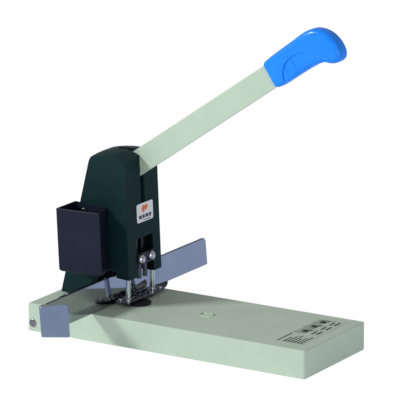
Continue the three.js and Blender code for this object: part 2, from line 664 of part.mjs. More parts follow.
function fenceParts() {
  const { near, length, height, sheet, round } = FENCE;
  const { reach, low, tip, step } = PLATE;
  const spare = 4;
  const far = near + length;
  const side = new THREE.Shape();
  side.moveTo(near - 1, -spare);
  side.lineTo(near + step, -spare);
  side.lineTo(near + step, 0);
  side.lineTo(far, 0);
  side.lineTo(far, height - round);
  side.absarc(far - round, height - round, round, 0, Math.PI / 2, false);
  side.lineTo(near + step, height);
  side.lineTo(near + step, height + spare);
  side.lineTo(near - 1, height + spare);
  const wall = new THREE.ExtrudeGeometry(cleaned(side, 8), { depth: 60, bevelEnabled: false });
  wall.rotateX(Math.PI / 2);
  wall.rotateZ(Math.PI / 2);
  wall.translate(-20, 0, 0);
  const flare = [[-12, low], [0, low], [reach, tip[0]], [reach + 9, tip[0]]];
  flare.push([reach + 9, tip[1]], [reach, tip[1]], [0, height], [-12, height]);
  const fence = alongZ(fencePlan(), -spare, height + spare)
    .intersect(solid(wall))
    .intersect(alongY(polygon(flare), near - 2, far + 2))
    .subtract(plateCorners());
  const railZ = height - RAIL.drop;
  const beads = [[-45.5, 3.4], [RAIL.y0, 2.2], [RAIL.y1, 2.6]].map(([y, r]) => ball(RAIL.x, y, railZ, r));
  const rail = join([across(RAIL.x, railZ, RAIL.y0, RAIL.y1, RAIL.r, 16), ...beads]);
  const clips = CLIP_Y.map((y, i) => {
    const clip = box(-3.4, -sheet - GAP, y, y + 5, height - 9, railZ - RAIL.r - GAP);
    return mesh(`rail_clip_${i + 1}`, leanFence(clip), "steel");
  });

  // Flat tabs behind the fence slide on the table under thumb screws.
  const floor = BASE.top + GAP;
  const { x0, x1, half, sheet: tabSheet, rise, screwX } = TAB;
  const tabs = pair.map(([name], i) => {
    const y = TAB_Y[i];
    const foot = box(x0, x1, y - half, y + half, floor, floor + tabSheet);
    const upstand = box(x1 - tabSheet, x1, y - half, y + half, floor, floor + rise);
    const tab = foot.add(upstand).subtract(upright(screwX, y, 30, 50, 2.6, 16));
    return mesh(`fence_tab_${name}`, tab, "steel");
  });
  const screws = pair.map(([name], i) => {
    const head = [
      [0, 33],
      [2.1, 33],
      [2.1, floor + 1.9],
      [6, floor + 1.9],
      [6, floor + 9],
      [4.8, floor + 10],
      [0, floor + 10],
    ];
    return mesh(`thumb_screw_${name}`, turned(head, screwX, TAB_Y[i], 20), "steel");
  });
  return [
    mesh("fence", leanFence(fence), "chrome"),
    mesh("fence_rail", leanFence(rail), "chrome"),
    ...clips,
    ...tabs,
    ...screws,
  ];
}

// ---------- assembly ----------
const punch = new THREE.Group();
punch.add(
  ...baseParts(),
  ...doorParts(),
  ...towerParts(),
  badge(),
  ...accessoryBox(),
  ...leverParts(),
  ...pivotParts(),
  ...carrierParts(),
  ...presserParts(),
  ...cuttingDisc(),
  ...fenceParts(),
);
punch.position.set(-BASE.length / 2, -(FENCE.near + FENCE.length / 2), 0);

export default punch;
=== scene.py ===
"""A heavy-duty lever hole punch on a white studio floor.

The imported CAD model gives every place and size. This script adds the finish: rounded edges,
the moulded grip, coil springs, turned fasteners, plain graphics and a procedural material for
every surface. Lengths are millimetres from the base's near left bottom corner, turned into the
row frame's metres by place().
"""

import json
import math

import bmesh
import bpy
from mathutils import Matrix, Vector

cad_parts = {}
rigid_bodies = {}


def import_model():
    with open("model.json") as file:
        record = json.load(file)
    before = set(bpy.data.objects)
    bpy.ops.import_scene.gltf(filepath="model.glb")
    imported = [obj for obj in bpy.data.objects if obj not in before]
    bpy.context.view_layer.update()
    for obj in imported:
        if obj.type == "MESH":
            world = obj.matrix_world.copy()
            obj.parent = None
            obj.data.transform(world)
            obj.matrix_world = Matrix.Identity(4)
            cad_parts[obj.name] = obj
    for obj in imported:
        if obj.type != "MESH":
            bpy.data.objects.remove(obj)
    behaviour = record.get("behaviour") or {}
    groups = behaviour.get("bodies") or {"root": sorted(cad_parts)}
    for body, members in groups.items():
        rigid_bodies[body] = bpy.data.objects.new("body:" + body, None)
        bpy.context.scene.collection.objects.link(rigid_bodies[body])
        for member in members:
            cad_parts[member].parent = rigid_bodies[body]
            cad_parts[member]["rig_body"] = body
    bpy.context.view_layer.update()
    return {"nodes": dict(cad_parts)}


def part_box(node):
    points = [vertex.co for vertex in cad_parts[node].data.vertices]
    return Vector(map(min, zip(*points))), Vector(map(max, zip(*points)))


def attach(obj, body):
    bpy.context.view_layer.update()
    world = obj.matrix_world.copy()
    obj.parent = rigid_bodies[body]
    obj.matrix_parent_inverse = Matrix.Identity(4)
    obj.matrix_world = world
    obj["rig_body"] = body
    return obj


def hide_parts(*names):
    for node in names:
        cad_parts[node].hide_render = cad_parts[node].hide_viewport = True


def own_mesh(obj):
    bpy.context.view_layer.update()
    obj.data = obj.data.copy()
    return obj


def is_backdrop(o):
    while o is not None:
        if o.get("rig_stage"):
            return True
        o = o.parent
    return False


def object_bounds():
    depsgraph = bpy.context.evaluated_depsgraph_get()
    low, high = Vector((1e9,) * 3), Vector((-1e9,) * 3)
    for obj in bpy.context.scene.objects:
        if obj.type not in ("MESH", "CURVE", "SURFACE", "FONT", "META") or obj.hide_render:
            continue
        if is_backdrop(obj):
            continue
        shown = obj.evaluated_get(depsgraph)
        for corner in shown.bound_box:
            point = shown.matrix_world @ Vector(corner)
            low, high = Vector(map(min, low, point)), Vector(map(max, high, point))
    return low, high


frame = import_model()

NODES = frame["nodes"]
MM = 0.001
BASE_LOW, BASE_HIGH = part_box("base_housing")
CORNER = Vector((BASE_LOW.x, BASE_LOW.y, 0))
TABLE = BASE_HIGH.z / MM


def place(x, y, z):
    """A point in the row frame from millimetres measured off the base's corner."""
    return CORNER + Vector((x, y, z)) * MM


def middle(node):
    """The middle of a CAD node, in millimetres from the base's corner."""
    low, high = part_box(node)
    return ((low + high) / 2 - CORNER) / MM


def extent(node):
    """The lowest and highest corner of a CAD node, in millimetres from the base's corner."""
    low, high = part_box(node)
    return (low - CORNER) / MM, (high - CORNER) / MM


HEAD_Y = middle("lever_bar").y
PIVOT = middle("pivot_pin")
LEVER_TILT = math.radians(34.7)
FENCE_LEAN = math.radians(4.8)
BADGE_THICK = 0.9


# ---------- materials ----------
class Finish:
    """A node material: a shader, object coordinates, and helpers that add detail to it."""

    def __init__(self, name, color, roughness, metallic=0.0, coat=0.0, specular=0.5):
        self.material = bpy.data.materials.new(name)
        self.material.use_nodes = True
        self.tree = self.material.node_tree
        self.shader = self.tree.nodes["Principled BSDF"]
        self.color = color
        self.shader.inputs["Base Color"].default_value = color
        self.shader.inputs["Roughness"].default_value = roughness
        self.shader.inputs["Metallic"].default_value = metallic
        self.shader.inputs["Coat Weight"].default_value = coat
        self.shader.inputs["Coat Roughness"].default_value = 0.12
        self.shader.inputs["Specular IOR Level"].default_value = specular
        self.material.diffuse_color = color
        self.coords = self.tree.nodes.new("ShaderNodeTexCoord").outputs["Object"]

    def node(self, kind, **settings):
        made = self.tree.nodes.new(kind)
        for key, value in settings.items():
            setattr(made, key, value)
        return made

    def link(self, source, target):
        self.tree.links.new(source, target)

    def noise(self, scale, detail=3.0, stretch=(1, 1, 1)):
        """Noise in object space; scale is in features per metre."""
        mapping = self.node("ShaderNodeMapping")
        mapping.inputs["Scale"].default_value = stretch
        self.link(self.coords, mapping.inputs["Vector"])
        texture = self.node("ShaderNodeTexNoise")
        texture.inputs["Scale"].default_value = scale
        texture.inputs["Detail"].default_value = detail
        self.link(mapping.outputs["Vector"], texture.inputs["Vector"])
        return texture.outputs["Fac"]

    def spread(self, value, low, high, start=0.3, stop=0.7):
        """Maps a 0-1 value to low..high."""
        ramp = self.node("ShaderNodeMapRange")
        ramp.inputs["From Min"].default_value = start
        ramp.inputs["From Max"].default_value = stop
        ramp.inputs["To Min"].default_value = low
        ramp.inputs["To Max"].default_value = high
        self.link(value, ramp.inputs["Value"])
        return ramp.outputs["Result"]

    def tint(self, value, dark, light):
        """Varies the colour between dark and light times the plain colour."""
        mix = self.node("ShaderNodeMix", data_type="RGBA")
        mix.inputs["A"].default_value = (*[c * dark for c in self.color[:3]], 1)
        mix.inputs["B"].default_value = (*[min(1, c * light) for c in self.color[:3]], 1)
        self.link(self.spread(value, 0, 1), mix.inputs["Factor"])
        self.link(mix.outputs["Result"], self.shader.inputs["Base Color"])
        return self

    def rough(self, value, low, high):
        self.link(self.spread(value, low, high), self.shader.inputs["Roughness"])
        return self

    def bump(self, value, height, strength=1.0):
        """Raises the surface by height metres where value is 1."""
        bump = self.node("ShaderNodeBump")
        bump.inputs["Distance"].default_value = height
        bump.inputs["Strength"].default_value = strength
        previous = self.shader.inputs["Normal"].links
        if previous:
            self.link(previous[0].from_socket, bump.inputs["Normal"])
        self.link(value, bump.inputs["Height"])
        self.link(bump.outputs["Normal"], self.shader.inputs["Normal"])
        return self


def pale_paint():
    """Grey-green enamel with a fine orange peel."""
    made = Finish("pale_paint", (0.462, 0.570, 0.455, 1), 0.42, coat=0.08)
    made.tint(made.noise(22, 4), 0.965, 1.03)
    made.rough(made.noise(60, 3), 0.36, 0.5)
    made.bump(made.noise(620, 2), 0.00006, 0.35)
    return made.material


def green_paint():
    """Very dark green enamel on a casting: orange peel over a slightly uneven surface."""
    made = Finish("green_paint", (0.0075, 0.024, 0.026, 1), 0.32, specular=0.05)
    made.tint(made.noise(30, 4), 0.88, 1.15)
    made.rough(made.noise(80, 3), 0.27, 0.38)
    made.bump(made.noise(90, 2), 0.0003, 0.2)
    made.bump(made.noise(700, 2), 0.00006, 0.15)
    return made.material


def dark_plastic():
    """Blue-black moulded plastic with a fine spark-eroded grain."""
    made = Finish("dark_plastic", (0.0065, 0.0085, 0.0215, 1), 0.42, specular=0.3)
    made.tint(made.noise(40, 3), 0.9, 1.12)
    made.rough(made.noise(120, 3), 0.36, 0.5)
    made.bump(made.noise(1500, 2), 0.00005, 0.4)
    return made.material


def blue_plastic():
    """Glossy dipped plastic of the grip."""
    made = Finish("blue_plastic", (0.007, 0.235, 0.93, 1), 0.3, coat=0.1, specular=0.26)
    made.tint(made.noise(25, 3), 0.96, 1.05)
    made.rough(made.noise(70, 2), 0.27, 0.35)
    made.bump(made.noise(60, 1), 0.0001, 0.06)
    made.shader.inputs["Subsurface Weight"].default_value = 0.12
    made.shader.inputs["Subsurface Radius"].default_value = (0.2, 0.5, 1.0)
    made.shader.inputs["Subsurface Scale"].default_value = 0.002
    return made.material


def metal(name, color, roughness, stretch=(1, 1, 1), grain=0.03, wave=0.15):
    """Bare metal with fine scratches and a faint waviness."""
    made = Finish(name, color, roughness, metallic=1.0)
    made.tint(made.noise(35, 3), 0.94, 1.06)
    made.rough(made.noise(900, 3, stretch), max(0.02, roughness - grain), roughness + grain)
    made.bump(made.noise(45, 1), 0.0002, wave)
    made.bump(made.noise(1300, 2, stretch), 0.00001, 0.3)
    return made.material


def rubber():
    made = Finish("rubber", (0.0055, 0.004, 0.0065, 1), 0.55, specular=0.25)
    made.tint(made.noise(50, 3), 0.85, 1.3)
    made.rough(made.noise(200, 3), 0.45, 0.65)
    made.bump(made.noise(900, 3), 0.00006, 0.5)
    return made.material


def ink(name, color, roughness=0.5):
    """Printed ink: a little uneven where the screen left it thin."""
    made = Finish(name, color, roughness)
    made.tint(made.noise(700, 2), 0.9, 1.1)
    made.rough(made.noise(300, 2), roughness - 0.06, roughness + 0.06)
    return made.material


PALE = pale_paint()
GREEN = green_paint()
PLASTIC = dark_plastic()
BLUE = blue_plastic()
CHROME = metal("chrome", (0.40, 0.42, 0.45, 1), 0.05, (0.15, 1, 1))
# Painted shade: near-black paint for the walls inside the tower's cavity, in place of the shade that
# falls there.
CAVITY_SHADE_PAINT = Finish("cavity_painted_shade", (0.0035, 0.004, 0.006, 1), 0.6, specular=0.1).material
DARK_CHROME = metal("dark_chrome", (0.115, 0.12, 0.15, 1), 0.07, (0.15, 1, 1))
PIN_STEEL = metal("pin_steel", (0.42, 0.35, 0.32, 1), 0.14)
POLISH = metal("polished_rod", (0.62, 0.64, 0.68, 1), 0.06, (1, 1, 0.1), wave=0.05)
STEEL = metal("steel", (0.36, 0.37, 0.38, 1), 0.3, (1, 1, 0.2), grain=0.06)
DARK_STEEL = metal("dark_steel", (0.055, 0.055, 0.065, 1), 0.32, grain=0.06)
BRASS = metal("brass", (0.55, 0.38, 0.14, 1), 0.25)
RUBBER = rubber()
BADGE = ink("badge_face", (0.72, 0.74, 0.80, 1), 0.3)
ORANGE = ink("orange_ink", (0.75, 0.16, 0.02, 1), 0.35)
BLACK = ink("black_ink", (0.012, 0.012, 0.016, 1), 0.35)
PANEL_INK = ink("panel_ink", (0.02, 0.03, 0.025, 1), 0.5)
PANEL_GROUND = ink("panel_ground", (0.44, 0.545, 0.435, 1), 0.45)


# ---------- mesh helpers ----------
def finish_mesh(name, bm, material, body, nodes=(), sharp=35.0):
    """Turns a bmesh in row-frame metres into a piece that rides on a body."""
    bmesh.ops.recalc_face_normals(bm, faces=bm.faces)
    mesh = bpy.data.meshes.new(name)
    bm.to_mesh(mesh)
    bm.free()
    mesh.shade_smooth()
    mesh.set_sharp_from_angle(angle=math.radians(sharp))
    piece = bpy.data.objects.new(name, mesh)
    bpy.context.scene.collection.objects.link(piece)
    mesh.materials.append(material)
    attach(piece, body)
    if nodes:
        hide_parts(*nodes)
    return piece


def bevel(piece, width, segments=3, angle=32.0):
    """Rounds the piece's sharp edges, width in millimetres."""
    rounding = piece.modifiers.new("rounded_edges", "BEVEL")
    rounding.width = width * MM
    rounding.segments = segments
    rounding.limit_method = "ANGLE"
    rounding.angle_limit = math.radians(angle)
    rounding.use_clamp_overlap = True
    level = piece.modifiers.new("level_faces", "WEIGHTED_NORMAL")
    level.weight = 100
    level.keep_sharp = True
    return piece


def solid_of(node):
    """The CAD node's solid as clean faces: vertices joined, flat regions in one face each."""
    bm = bmesh.new()
    bm.from_mesh(NODES[node].data)
    bmesh.ops.remove_doubles(bm, verts=bm.verts, dist=0.002 * MM)
    flat = math.radians(0.6)
    bmesh.ops.dissolve_limit(bm, angle_limit=flat, verts=bm.verts, edges=bm.edges)
    return bm


def refine(node, material, width=0.4, segments=3, angle=32.0, suffix="skin"):
    """Stands for a CAD node with the same solid and rounded edges."""
    body = NODES[node]["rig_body"]
    piece = finish_mesh(f"{node}_{suffix}", solid_of(node), material, body, [node])
    if width:
        bevel(piece, width, segments, angle)
    return piece


def turned(bm, profile, at, axis=(0, 0, 1), steps=48):
    """Adds a turned solid. The profile is [radius, height] in millimetres along the axis."""
    turn = Vector((0, 0, 1)).rotation_difference(Vector(axis)).to_matrix()
    rings = []
    for radius, height in profile:
        if radius < 1e-6:
            rings.append([bm.verts.new(at + turn @ Vector((0, 0, height)) * MM)])
            continue
        ring = []
        for i in range(steps):
            angle = math.tau * i / steps
            spoke = Vector((math.cos(angle) * radius, math.sin(angle) * radius, height))
            ring.append(bm.verts.new(at + turn @ spoke * MM))
        rings.append(ring)
    for lower, upper in zip(rings, rings[1:]):
        for i in range(steps):
            j = (i + 1) % steps
            corners = [lower[i % len(lower)], lower[j % len(lower)]]
            corners += [upper[j % len(upper)], upper[i % len(upper)]]
            face = list(dict.fromkeys(corners))
            if len(face) > 2:
                bm.faces.new(face)
    return bm


def slab(bm, outline, to_world, depth):
    """Adds a closed prism: outline [u, v] in millimetres, raised by depth along w."""
    low = [bm.verts.new(to_world(u, v, 0)) for u, v in outline]
    high = [bm.verts.new(to_world(u, v, depth)) for u, v in outline]
    bm.faces.new(low)
    bm.faces.new(high)
    for i in range(len(low)):
        j = (i + 1) % len(low)
        bm.faces.new([low[i], low[j], high[j], high[i]])
    return bm


def rectangle(u, v, width, height):
    return [
        (u - width / 2, v - height / 2),
        (u + width / 2, v - height / 2),
        (u + width / 2, v + height / 2),
        (u - width / 2, v + height / 2),
    ]


def arc(cx, cy, radius, start, stop, steps):
    """Points on an arc, angles in degrees."""
    angles = [math.radians(start + (stop - start) * i / steps) for i in range(steps + 1)]
    return [(cx + radius * math.cos(a), cy + radius * math.sin(a)) for a in angles]


def rounded(u, v, width, height, radius, steps=6):
    """A rectangle with round corners, centred on u, v."""
    half_u, half_v = width / 2 - radius, height / 2 - radius
    points = []
    for i, (su, sv) in enumerate([(1, 1), (-1, 1), (-1, -1), (1, -1)]):
        corner = (u + su * half_u, v + sv * half_v)
        points += arc(*corner, radius, 90 * i, 90 * i + 90, steps)
    return points


def apply_modifiers(piece):
    """Freezes the piece's modifiers into its mesh."""
    graph = bpy.context.evaluated_depsgraph_get()
    mesh = bpy.data.meshes.new_from_object(piece.evaluated_get(graph))
    piece.modifiers.clear()
    old = piece.data
    piece.data = mesh
    bpy.data.meshes.remove(old)
    return piece


def carve(piece, cutters):
    """Cuts closed meshes out of a piece; the cutters are then removed."""
    for cutter in cutters:
        cut = piece.modifiers.new("cut", "BOOLEAN")
        cut.object = cutter
        cut.operation = "DIFFERENCE"
        cut.solver = "EXACT"
        apply_modifiers(piece)
        bpy.data.objects.remove(cutter)
    return piece


def cutter_of(bm):
    bmesh.ops.recalc_face_normals(bm, faces=bm.faces)
    mesh = bpy.data.meshes.new("cutter")
    bm.to_mesh(mesh)
    bm.free()
    made = bpy.data.objects.new("cutter", mesh)
    bpy.context.scene.collection.objects.link(made)
    return made


# ---------- base ----------
def build_base():
    refine("base_housing", PALE, 0.3, 2, 40)
    refine("bottom_pan", STEEL, 0.2)
    refine("die_strip", STEEL, 0.15)
    for i in range(1, 5):
        spot = middle(f"rubber_foot_{i}")
        bm = bmesh.new()
        profile = [(0, 0), (7.6, 0), (8.6, 0.4), (9, 1.0), (9, 1.9), (0, 1.9)]
        turned(bm, profile, place(spot.x, spot.y, 0))
        name = f"rubber_foot_{i}"
        finish_mesh(f"{name}_turned", bm, RUBBER, "frame", [name])
    refine("chip_door", PALE, 0.3)
    build_door_pin()


def build_door_pin():
    """The pin across the end, with a domed and dished head on each side."""
    low, high = extent("door_pin")
    spot = middle("door_pin")
    radius = (high.x - low.x) / 2
    head = 1.1
    bm = bmesh.new()
    profile = [
        (0, 0.5),
        (2.2, 0.25),
        (3.4, 0),
        (radius - 0.5, 0.15),
        (radius, 0.6),
        (radius, head),
        (2.8, head),
    ]
    length = high.y - low.y
    profile += [(r, length - h) for r, h in reversed(profile)]
    turned(bm, profile, place(spot.x, low.y, spot.z), (0, 1, 0))
    finish_mesh("door_pin_turned", bm, PIN_STEEL, "frame", ["door_pin"])


def build_mark():
    """A raised key-shaped outline pressed into the table: four low ribs round a hollow."""
    ribs = [(211, 70, 2, 15), (219, 64, 18, 2), (219, 76, 18, 2), (227, 73, 2, 8)]
    bm = bmesh.new()
    sunk, rise = 0.5, 1.0

    def at(u, v, w):
        return place(u, v, TABLE - sunk + w)

    for x, y, width, depth in ribs:
        slab(bm, rectangle(x, y, width, depth), at, sunk + rise)
    bevel(finish_mesh("pressed_mark", bm, PALE, "frame"), 0.4, 2)


def build_panel():
    """The printed guide panel: line drawings of sheets and discs, and bars that say nothing."""
    low, high = extent("table_panel")
    across, along = high.y - low.y, high.x - low.x

    def ground(u, v, w):
        return place(low.x + v, low.y + u, low.z + w)

    film, gap, ink_height = 0.08, 0.005, 0.05
    bm = bmesh.new()
    slab(bm, rounded(across / 2, along / 2, across, along, 2), ground, film)
    finish_mesh("panel_film", bm, PANEL_GROUND, "frame", ["table_panel"])

    def print_at(u, v, w):
        return ground(u, v, w + film + gap)

    bm = bmesh.new()

    def line(u0, v0, u1, v1, wide=0.8):
        run = Vector((u1 - u0, v1 - v0)).normalized() * wide / 2
        side = Vector((-run.y, run.x))
        ends = [Vector((u0, v0)) - run, Vector((u1, v1)) + run]
        outline = [ends[0] - side, ends[1] - side, ends[1] + side, ends[0] + side]
        slab(bm, [tuple(p) for p in outline], print_at, ink_height)

    def sheet(u, v, wide, tall, lean):
        corners = [(u, v), (u + wide, v + lean), (u + wide, v + tall + lean), (u, v + tall)]
        for first, second in zip(corners, corners[1:] + corners[:1]):
            line(*first, *second, 1.1)

    for row in range(6):
        width = 30 - 6 * (row % 3)
        slab(bm, rectangle(2 + width / 2, along - 3.4 - row * 4.6, width, 2.1), print_at, ink_height)
        slab(bm, rectangle(3, along - 3.4 - row * 4.6, 3.4, 3.0), print_at, ink_height)
    for column in range(3):
        u = 42 + column * 22
        sheet(u, 5, 17, 12, 1.5)
        sheet(u + 3, 9, 15, 9, 1.5)
        slab(bm, rounded(u + 10, 14, 9.6, 8.4, 4), print_at, ink_height)
        line(u + 10, 14, u + 19, 26, 1.6)
        slab(bm, rectangle(u + 8, 28, 13, 3.0), print_at, ink_height)
        slab(bm, rectangle(u + 10, 34, 15, 3.0), print_at, ink_height)
    line(2, 5, 36, 5, 2.0)
    finish_mesh("panel_print", bm, PANEL_INK, "frame")


# ---------- tower ----------
def build_tower():
    casting = refine("tower_casting", GREEN, 1.1, 3, 32)
    paint_cavity_shade(casting)
    for i in range(1, 5):
        refine(f"tower_bolt_{i}", STEEL, 0.3)
    build_box()
    build_box_screw()
    refine("pivot_cap", DARK_STEEL, 0.8)
    for side in ("near", "far"):
        refine(f"pivot_spacer_{side}", STEEL, 0.3)
    refine("pivot_pin", STEEL, 0.3)


def paint_cavity_shade(casting):
    """Paints shade onto the walls inside the casting with a darker material, standing in for the
    shade in the cavity; its front stays green.
    """
    half, front, top, front_wall = 19.2, 112.4, 214, 110
    casting.data.materials.append(CAVITY_SHADE_PAINT)
    for face in casting.data.polygons:
        spot = (face.center - CORNER) / MM
        inside = abs(spot.y - HEAD_Y) < half and spot.x < front and spot.z < top
        outer = face.normal.x > 0.5 and spot.x > front_wall
        face.material_index = int(inside and not outer)


def build_box():
    """The moulded pocket: its lower outer edges are round, the rest only eased."""
    low = extent("accessory_box")[0]
    corner, slack = 4.2, 0.2
    bm = solid_of("accessory_box")
    floor = (low.z + slack) * MM
    edges = [e for e in bm.edges if all(v.co.z - CORNER.z < floor for v in e.verts)]
    bmesh.ops.bevel(bm, geom=edges, offset=corner * MM, segments=6, profile=0.5, affect="EDGES")
    piece = finish_mesh("accessory_box_skin", bm, PLASTIC, "frame", ["accessory_box"])
    bevel(piece, 0.9, 3, 32)


def build_box_screw():
    """A pan-headed screw with a cross slot."""
    low = extent("box_screw")[0]
    spot = middle("box_screw")
    bm = bmesh.new()
    profile = [(0, 0), (2.2, 0.1), (3.6, 0.7), (4.2, 1.6), (4.2, 2.9), (2, 2.9), (2, 12), (0, 12)]
    turned(bm, profile, place(spot.x, low.y, spot.z), (0, 1, 0))
    screw = finish_mesh("box_screw_turned", bm, DARK_STEEL, "frame", ["box_screw"])
    slots = bmesh.new()
    long, narrow, outside, deep = 5.2, 0.9, 0.5, 1.2

    def at(u, v, w):
        return place(spot.x + u, low.y - outside + w, spot.z + v)

    for wide, tall in [(long, narrow), (narrow, long)]:
        slab(slots, rectangle(0, 0, wide, tall), at, outside + deep)
    carve(screw, [cutter_of(slots)])


def badge_frame():
    """Where the badge's face is: its middle, and the directions along, up and out."""
    low, high = extent("badge_plate")
    lean = math.atan2(high.x - low.x - BADGE_THICK, high.z - low.z)
    up = Vector((-math.sin(lean), 0, math.cos(lean)))
    out = Vector((math.cos(lean), 0, math.sin(lean)))
    return middle("badge_plate"), Vector((0, 1, 0)), up, out, high.y - low.y, high.z - low.z


def build_badge():
    """A rounded plate with an abstract mark of two leaves over plain bars."""
    spot, along, up, out, width, height = badge_frame()

    def at(u, v, w):
        point = spot + along * u + up * v + out * (w - BADGE_THICK / 2)
        return place(*point)

    bm = bmesh.new()
    slab(bm, rounded(0, 0, width, height, 2.8), at, BADGE_THICK)
    plate = finish_mesh("badge_face", bm, BADGE, "frame", ["badge_plate"])
    bevel(plate, 0.25, 2)

    clear, print_height = 0.02, 0.08

    def mark_at(u, v, w):
        return at(u, v, w + BADGE_THICK + clear)

    bm = bmesh.new()
    for offset, rise, size in [(-3.4, 4.6, 4.6), (3.2, 5.8, 3.6)]:
        leaf = arc(offset, rise, size, 20, 200, 14)
        leaf += arc(offset - 1, rise - 1.2, size * 0.8, 250, 330, 8)
        slab(bm, leaf, mark_at, print_height)
    finish_mesh("badge_mark", bm, ORANGE, "frame")
    bm = bmesh.new()
    for i, wide in enumerate([6, 5, 6, 5]):
        u = -11.2 + i * 7.4
        slab(bm, rectangle(u, -5.2, wide, 4.6), mark_at, print_height)
    slab(bm, rectangle(3.2, -9.9, 18, 0.9), mark_at, print_height)
    finish_mesh("badge_bars", bm, BLACK, "frame")


# ---------- lever ----------
def lever_place(along, across, up):
    """A point on the lever: along the bar from the pivot, across to the far side, and up."""
    c, s = math.cos(LEVER_TILT), math.sin(LEVER_TILT)
    return place(PIVOT.x + along * c - up * s, HEAD_Y + across, PIVOT.z + along * s + up * c)


def cubic(p0, p1, p2, p3, steps):
    points = []
    for i in range(steps):
        t = i / steps
        a, b, c, d = (1 - t) ** 3, 3 * t * (1 - t) ** 2, 3 * t * t * (1 - t), t**3
        points.append(tuple(a * w + b * x + c * y + d * z for w, x, y, z in zip(p0, p1, p2, p3)))
    return points


def grip_outline():
    """The grip's side outline on the lever's own axes, anticlockwise from its lower rear."""
    return [
        *arc(296.6, -12.0, 5.6, 180, 262, 8),
        *cubic((300, -17.9), (312, -18.3), (322, -18.0), (334, -18.1), 12),
        *cubic((334, -18.1), (350, -18.6), (362, -18.8), (369, -23), 12),
        *cubic((369, -23), (375, -28.5), (380, -31.2), (386, -31), 10),
        *cubic((386, -31), (395, -30.2), (397.5, -20), (396.4, -9), 12),
        *cubic((396.4, -9), (395, 2), (389, 12), (379, 18), 14),
        *cubic((379, 18), (371, 22.4), (361, 22.2), (348, 21.2), 12),
        *cubic((348, 21.2), (330, 20), (312, 20.4), (297, 18.2), 14),
        *arc(296.6, 12.6, 5.6, 95, 172, 8),
    ]


def resample(points, count):
    """Evenly spaced points round a closed outline."""
    ring = [Vector(p) for p in points]
    spans = [(ring[(i + 1) % len(ring)] - p).length for i, p in enumerate(ring)]
    total = sum(spans)
    out, i, walked = [], 0, 0.0
    for k in range(count):
        goal = total * k / count
        while walked + spans[i] < goal:
            walked += spans[i]
            i += 1
        share = (goal - walked) / spans[i] if spans[i] else 0
        out.append(ring[i].lerp(ring[(i + 1) % len(ring)], share))
    return out


def inset(ring, depth):
    """The anticlockwise outline drawn in by depth along each point's own normal.

    The rim widens from the bar's end of the grip towards its free end.
    """
    start, run_out, most = 303, 45, 0.75
    out = []
    for i, p in enumerate(ring):
        run = ring[(i + 1) % len(ring)] - ring[i - 1]
        wider = 1 + most * max(0.0, min(1.0, (p.x - start) / run_out))
        out.append(p + Vector((-run.y, run.x)).normalized() * depth * wider)
    return out


def build_grip():
    """A flat-sided moulding whose rim is a quarter ellipse, with a thumb rest on each side."""
    half, rim, swell, steps = 11.0, 4.2, 6.4, 9
    ring = resample(grip_outline(), 260)
    levels = []
    for i in range(steps + 1):
        turn = math.pi / 2 * i / steps
        levels.append((rim * (1 - math.cos(turn)), half - swell + swell * math.sin(turn)))
    layers = [(d, -y) for d, y in reversed(levels)] + levels
    bm = bmesh.new()
    rows = []
    for depth, across in layers:
        outline = inset(ring, depth)
        rows.append([bm.verts.new(lever_place(p.x, across, p.y)) for p in outline])
    for lower, upper in zip(rows, rows[1:]):
        for i in range(len(ring)):
            j = (i + 1) % len(ring)
            bm.faces.new([lower[i], lower[j], upper[j], upper[i]])
    bm.faces.new(rows[0])
    bm.faces.new(rows[-1])
    grip = finish_mesh("grip_moulding", bm, BLUE, "lever", ["grip"])
    cutters = [bar_pocket()]
    for side in (-1, 1):
        cutters += [thumb_rest(side, half), *thumb_grooves(side, half)]
    carve(grip, cutters)
    grip.data.shade_smooth()
    grip.data.set_sharp_from_angle(angle=math.radians(38))
    return grip


def thumb_rest(side, half):
    """A cutter for the thumb rest: a deep rear edge that runs out to nothing at the front."""
    outline = [
        *cubic((307.5, -24), (306.5, -8), (315, 3.6), (334, 4.2), 16),
        *cubic((334, 4.2), (344, 4.6), (353, 1), (358, -4), 10),
        (362, -12),
        (362, -24),
    ]
    bm = bmesh.new()
    inner = []
    for x, z in outline:
        depth = 1.5 * max(0.0, min(1.0, (350 - x) / 40)) - 0.05
        inner.append(bm.verts.new(lever_place(x, side * (half - depth), z)))
    outer = [bm.verts.new(lever_place(x, side * (half + 4), z)) for x, z in outline]
    bm.faces.new(inner)
    bm.faces.new(outer)
    for i in range(len(outline)):
        j = (i + 1) % len(outline)
        bm.faces.new([inner[i], inner[j], outer[j], outer[i]])
    return cutter_of(bm)


def thumb_grooves(side, half):
    """Two shallow grooves across the thumb rest, and the line that bounds it."""
    cutters = []
    top = [*cubic((307.2, -24), (306.2, -8), (315, 4.0), (334, 4.6), 16)]
    top += [*cubic((334, 4.6), (344, 5.0), (353, 1.6), (358, -3), 10)]
    lines = [(top, 0.55, 0.9)]
    for x in (317, 331):
        lines.append(([(x - 1.2, -20), (x - 0.4, -12), (x + 0.5, -4), (x + 0.8, 1.6)], 0.5, 1.75))
    for points, wide, depth in lines:
        path = [Vector(p) for p in points]
        bm = bmesh.new()
        rows = []
        for i, p in enumerate(path):
            run = path[min(i + 1, len(path) - 1)] - path[max(i - 1, 0)]
            away = Vector((-run.y, run.x)).normalized() * wide / 2
            share = 1 - 0.75 * max(0.0, min(1.0, (p.x - 318) / 40))
            floor = half - depth * share
            quad = [(p + away, half + 3), (p - away, half + 3), (p - away, floor), (p + away, floor)]
            rows.append([bm.verts.new(lever_place(q.x, side * y, q.y)) for q, y in quad])
        for first, second in zip(rows, rows[1:]):
            for k in range(4):
                m = (k + 1) % 4
                bm.faces.new([first[k], first[m], second[m], second[k]])
        bm.faces.new(rows[0])
        bm.faces.new(rows[-1])
        cutters.append(cutter_of(bm))
    return cutters


